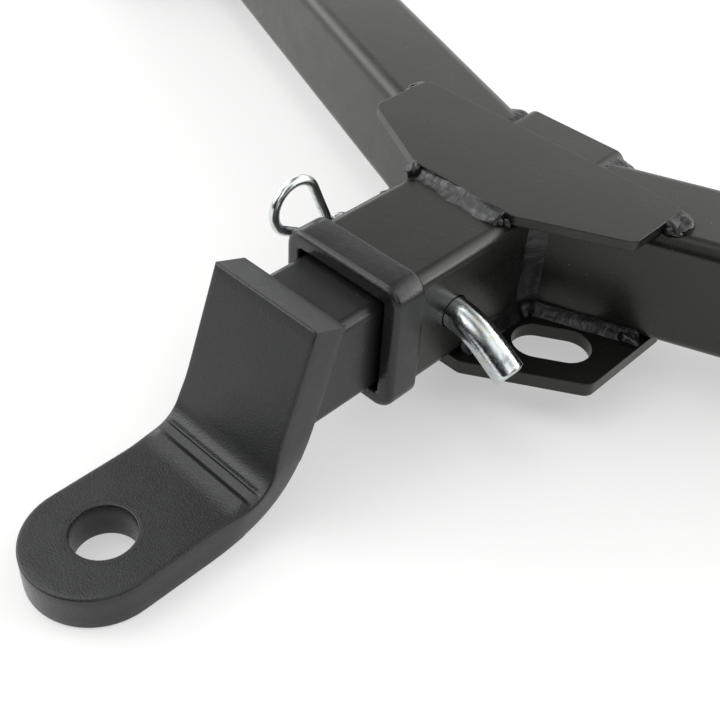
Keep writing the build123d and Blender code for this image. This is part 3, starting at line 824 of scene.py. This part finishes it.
def make_towbar_beads():
    """Beads of the receiver, the arms, the top plate and the chain plate."""
    front_y = 172.3
    add_beads("weld_top_plate_front",
              [((-24.0, front_y, TOP_Z), (21.5, front_y, TOP_Z), (0, -6.3, 0), (0, 0, 4.0))],
              blobs=[((-23.7, front_y - 0.8, TOP_Z + 1.2), (2.8, 3.9, 3.0)),
                     ((20.6, front_y - 2.4, TOP_Z + 0.7), (2.0, 2.2, 1.6)),
                     ((22.8, front_y - 0.8, TOP_Z + 0.4), (1.8, 1.5, 1.8))],
              seed=2.0, power=4.2, end_power=0.9, rough=0.22, streak=0.35, taper=1.5)
    x, y = RECEIVER_HALF, arm_face_y(RECEIVER_HALF)
    back_y = arm_face_y(x, ARM_DEPTH)
    front = ((x, y, BOTTOM_Z + 0.3), (x, y, TOP_Z - 0.3),
             (0, -7.6, 0), (4.4 * SWEEP_COS, 4.4 * SWEEP_SIN, 0))
    back = ((x, back_y, BOTTOM_Z + 0.5), (x, back_y, TOP_Z - 1.0),
            (5.0 * SWEEP_COS, 5.0 * SWEEP_SIN, 0), (0, 4.2, 0))
    chain_side = ((x, 151.0, BOTTOM_Z), (x, y - 3.0, BOTTOM_Z), (4.2, 0, 0), (0, 0, 7.2))
    arm_x0, arm_x1 = 26.5, 69.0
    chain_arm = ((arm_x0, arm_face_y(arm_x0), BOTTOM_Z), (arm_x1, arm_face_y(arm_x1), BOTTOM_Z),
                 (3.7 * SWEEP_SIN, -3.7 * SWEEP_COS, 0), (0, 0, 4.8))
    chain_blob_x = 66.0
    for side, sign in SIDES:
        add_beads("weld_receiver_" + side, [on_side(front, sign)], seed=5.0 + sign, taper=1.0,
                  blobs=[((sign * (x + 1.6), y - 2.4, BOTTOM_Z + 2.4), (4.4, 5.0, 4.4))])
        verts, faces = [], []
        bead_run(verts, faces, *on_side(back, sign), seed=8.0 + sign, power=1.7)
        groove_x = sign * (x + 0.3)
        strip_run(verts, faces, (groove_x, 224.0, TOP_Z - 0.6), (groove_x, back_y + 2.0, TOP_Z - 0.9),
                  side=(4.0, 0, 0), up=UP, height=0.7, depth=2.5, seed=9.0 + sign)
        blob(verts, faces, (sign * (x + 2.5), back_y - 2.5, TOP_Z - 4.6), (7.5, 7.5, 3.7), 12.0 + sign,
             lumps=0.06)
        add_weld("weld_rear_" + side, verts, faces)
        chain_blob = (sign * chain_blob_x, arm_face_y(chain_blob_x) - 1.8, BOTTOM_Z + 1.2)
        add_beads("weld_chain_plate_" + side, [on_side(chain_arm, sign)], seed=11.0 + sign, streak=0.25,
                  rough=0.15, blobs=[(chain_blob, (4.6, 3.2, 2.4))])
        leg = 6.4 if side == "right" else 3.2
        end_run = ((TOP_PLATE_HALF, 212.0, TOP_Z), (TOP_PLATE_HALF, 225.3, TOP_Z), (leg, 0, 0), (0, 0, 4.1))
        add_beads("weld_top_plate_" + side, [on_side(end_run, sign)], seed=14.0 + sign, power=1.2, rough=0.14,
                  blobs=[((sign * (TOP_PLATE_HALF + 0.38 * leg), 220.0, TOP_Z + 0.9), (0.75 * leg, 6.6, 2.9)),
                         ((sign * (TOP_PLATE_HALF + 0.30 * leg), 212.5, TOP_Z + 1.0),
                          (0.32 * leg, 1.6, 1.5))])
    add_beads("weld_chain_plate_receiver", [chain_side, on_side(chain_side, -1)], seed=17.0, streak=0.3)


def closed_bead(node, loop, lift, leg_out, leg_lift, body, seed, ripples, rough):
    """Bead round a loop of points and outward directions; lift points away from the plate."""
    points, outs = loop
    verts = []
    for i, (point, out) in enumerate(zip(points, outs)):
        root = point - out * RING_SINK - lift * RING_SINK
        for k in range(RING_SECTION):
            t = k / (RING_SECTION - 1)
            ca, cb = fillet(t, 1.6)
            wave = ripples * ripple(i * RING_PITCH, t)
            lump = rough * noise.noise(Vector((point.x / 3.0, point.y / 3.0, point.z / 3.0 + seed + t)))
            offset = out * ((leg_out + RING_SINK) * ca) + lift * ((leg_lift + RING_SINK) * cb)
            verts.append(root + offset + (out + lift).normalized() * ((wave + lump) * math.sin(math.pi * t)))
        verts.append(root)
    add_weld(node, verts, ring_faces(len(points), RING_SECTION + 1, loop=True), body)


def rounded_loop(half_u, half_v, corner, origin, u_axis, v_axis, spacing=0.9, corner_steps=7):
    """Points and outward directions round a rounded rectangle in a plane."""
    points, outs = [], []
    for quarter in range(4):
        su = 1 if quarter in (0, 3) else -1
        sv = 1 if quarter in (0, 1) else -1
        centre = Vector((su * (half_u - corner), sv * (half_v - corner)))
        for k in range(corner_steps + 1):
            a = math.pi / 2 * (quarter + k / corner_steps)
            d = Vector((math.cos(a), math.sin(a)))
            points.append(centre + d * corner)
            outs.append(d)
        side = 2 * ((half_u if quarter % 2 == 0 else half_v) - corner)
        count = max(2, int(side / spacing))
        along = Vector((-d.y, d.x))
        start = points[-1].copy()
        for k in range(1, count):
            points.append(start + along * (side * k / count))
            outs.append(d.copy())
    place = [origin + u_axis * p.x + v_axis * p.y for p in points]
    out = [u_axis * d.x + v_axis * d.y for d in outs]
    return place, out


def make_ring_beads():
    """Beads right round the shank's end and the arms' ends."""
    lean_out = Vector((0, math.cos(LEAN), -math.sin(LEAN)))
    lean_up = Vector((0, math.sin(LEAN), math.cos(LEAN)))
    back_y = FOOT_Y + TONGUE_THICK / math.cos(LEAN) + AXIS_Z * math.tan(LEAN)
    shank_loop = rounded_loop(SHANK_HALF, SHANK_HALF / math.cos(LEAN), 4.0, Vector((0, back_y, AXIS_Z)),
                              RIGHT, lean_up)
    closed_bead("weld_ball_mount", shank_loop, lean_out, leg_out=4.3, leg_lift=4.6, body="ball_mount",
                seed=21.0, ripples=0.04, rough=0.1)
    middle_y = arm_face_y(MOUNTING_PLATE_X, ARM_DEPTH / 2)
    for side, sign in SIDES:
        origin = Vector((sign * MOUNTING_PLATE_X, middle_y, (TOP_Z + BOTTOM_Z) / 2))
        arm_loop = rounded_loop(ARM_DEPTH / SWEEP_COS / 2, RECEIVER_HALF, 6.5, origin, Vector((0, 1, 0)), UP)
        closed_bead("weld_mounting_plate_" + side, arm_loop, Vector((-sign, 0, 0)), leg_out=4.6, leg_lift=4.6,
                    body="towbar", seed=25.0 + sign, ripples=0.18, rough=0.3)


make_towbar_beads()
make_ring_beads()


# Carried-over pieces

def repaint(node, material):
    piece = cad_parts[node]
    piece.data.materials.clear()
    piece.data.materials.append(material)


for node in ("receiver_tube", "left_arm", "right_arm", "left_mounting_plate", "right_mounting_plate"):
    repaint(node, TOWBAR_PAINT)
for node in ("top_gusset_plate", "chain_plate"):
    repaint(node, PLATE_PAINT)
repaint("ball_mount_shank", SHANK_PAINT)


# Floor, light and camera

FLOOR_HALF = 4000.0
FLOOR_COLOR = (0.88, 0.88, 0.87, 1.0)
FLOOR_WHITE_SHARE = 0.40
# Soft lights round the studio: elevation and azimuth in degrees, strength
SOFT_LIGHTS = (
    (6, 44, 6.56),
    (6, 116, 0.83),
    (6, 152, 3.98),
    (6, 188, 0.98),
    (25, 60, 3.58),
    (25, 90, 2.33),
    (25, 120, 1.17),
    (25, 150, 0.55),
    (25, 180, 3.24),
    (25, 210, 4.84),
    (25, 240, 1.47),
    (25, 330, 1.43),
    (45, 8, 0.53),
    (45, 44, 1.92),
    (45, 80, 1.15),
    (45, 152, 0.22),
    (45, 224, 2.35),
    (45, 260, 2.31),
    (45, 332, 1.33),
    (66, 0, 1.36),
    (66, 180, 3.85),
    (88, 0, 0.67),
)
SOFT_LIGHT_SHARPNESS = 30.0


def make_floor():
    """White floor; part of it is plain white to the rays that show it as background."""
    verts = [(x * FLOOR_HALF, y * FLOOR_HALF, FLOOR_Z) for x, y in ((-1, -1), (1, -1), (1, 1), (-1, 1))]
    floor = new_object("floor", verts, [(0, 1, 2, 3)])
    material, nodes, links, shader = new_material("floor_white")
    shader.inputs["Base Color"].default_value = FLOOR_COLOR
    shader.inputs["Roughness"].default_value = 0.9
    shader.inputs["Specular IOR Level"].default_value = 0.1
    rays = nodes.new("ShaderNodeLightPath").outputs
    seen = calculate(nodes, links, "MAXIMUM", rays["Is Camera Ray"], rays["Is Glossy Ray"])
    seen = calculate(nodes, links, "MAXIMUM", seen, rays["Is Transmission Ray"])
    share = spread(nodes, links, seen, low=0.0, high=1.0, new_low=0.0, new_high=FLOOR_WHITE_SHARE)
    blend(nodes, links, share, shader.outputs["BSDF"], plain_white(nodes, "ShaderNodeEmission"),
          nodes["Material Output"].inputs["Surface"])
    floor.data.materials.append(material)


def make_world():
    """Soft lights as lobes of the world's light; the camera sees plain white instead."""
    world = bpy.data.worlds.new("studio")
    bpy.context.scene.world = world
    world.use_nodes = True
    nodes, links = world.node_tree.nodes, world.node_tree.links
    place = nodes.new("ShaderNodeTexCoord").outputs["Generated"]
    total = None
    for elevation, azimuth, strength in SOFT_LIGHTS:
        e, a = math.radians(elevation), math.radians(azimuth)
        near = nodes.new("ShaderNodeVectorMath")
        near.operation = "DOT_PRODUCT"
        near.inputs[1].default_value = (math.cos(e) * math.cos(a), math.cos(e) * math.sin(a), math.sin(e))
        links.new(place, near.inputs[0])
        power = calculate(nodes, links, "MULTIPLY_ADD", near.outputs["Value"], SOFT_LIGHT_SHARPNESS,
                          math.log(strength) - SOFT_LIGHT_SHARPNESS)
        lobe = calculate(nodes, links, "EXPONENT", power)
        total = lobe if total is None else calculate(nodes, links, "ADD", total, lobe)
    background = nodes["Background"]
    links.new(total, background.inputs["Strength"])
    background.inputs["Color"].default_value = WHITE
    blend(nodes, links, nodes.new("ShaderNodeLightPath").outputs["Is Camera Ray"],
          background.outputs["Background"], plain_white(nodes, "ShaderNodeBackground"),
          nodes["World Output"].inputs["Surface"])


def make_camera():
    data = bpy.data.cameras.new("camera")
    data.sensor_width = SENSOR_WIDTH
    data.lens = CAMERA_FOCAL_PIXELS / PHOTO_PIXELS * SENSOR_WIDTH
    data.clip_start = CAMERA_CLIP_START
    camera = bpy.data.objects.new("camera", data)
    bpy.context.scene.collection.objects.link(camera)
    a, e, r = CAMERA_AZIMUTH, CAMERA_ELEVATION, CAMERA_ROLL
    forward = Vector((-math.sin(a) * math.cos(e), math.cos(a) * math.cos(e), -math.sin(e)))
    level = Vector((math.cos(a), math.sin(a), 0))
    over = level.cross(forward)
    right = level * math.cos(r) + over * math.sin(r)
    up = over * math.cos(r) - level * math.sin(r)
    turn = Matrix((right, up, -forward)).transposed().to_4x4()
    camera.matrix_world = Matrix.Translation(CAMERA_PLACE * MM) @ turn
    bpy.context.scene.camera = camera


make_floor()
make_world()
make_camera()

bpy.context.scene.view_settings.view_transform = "Standard"
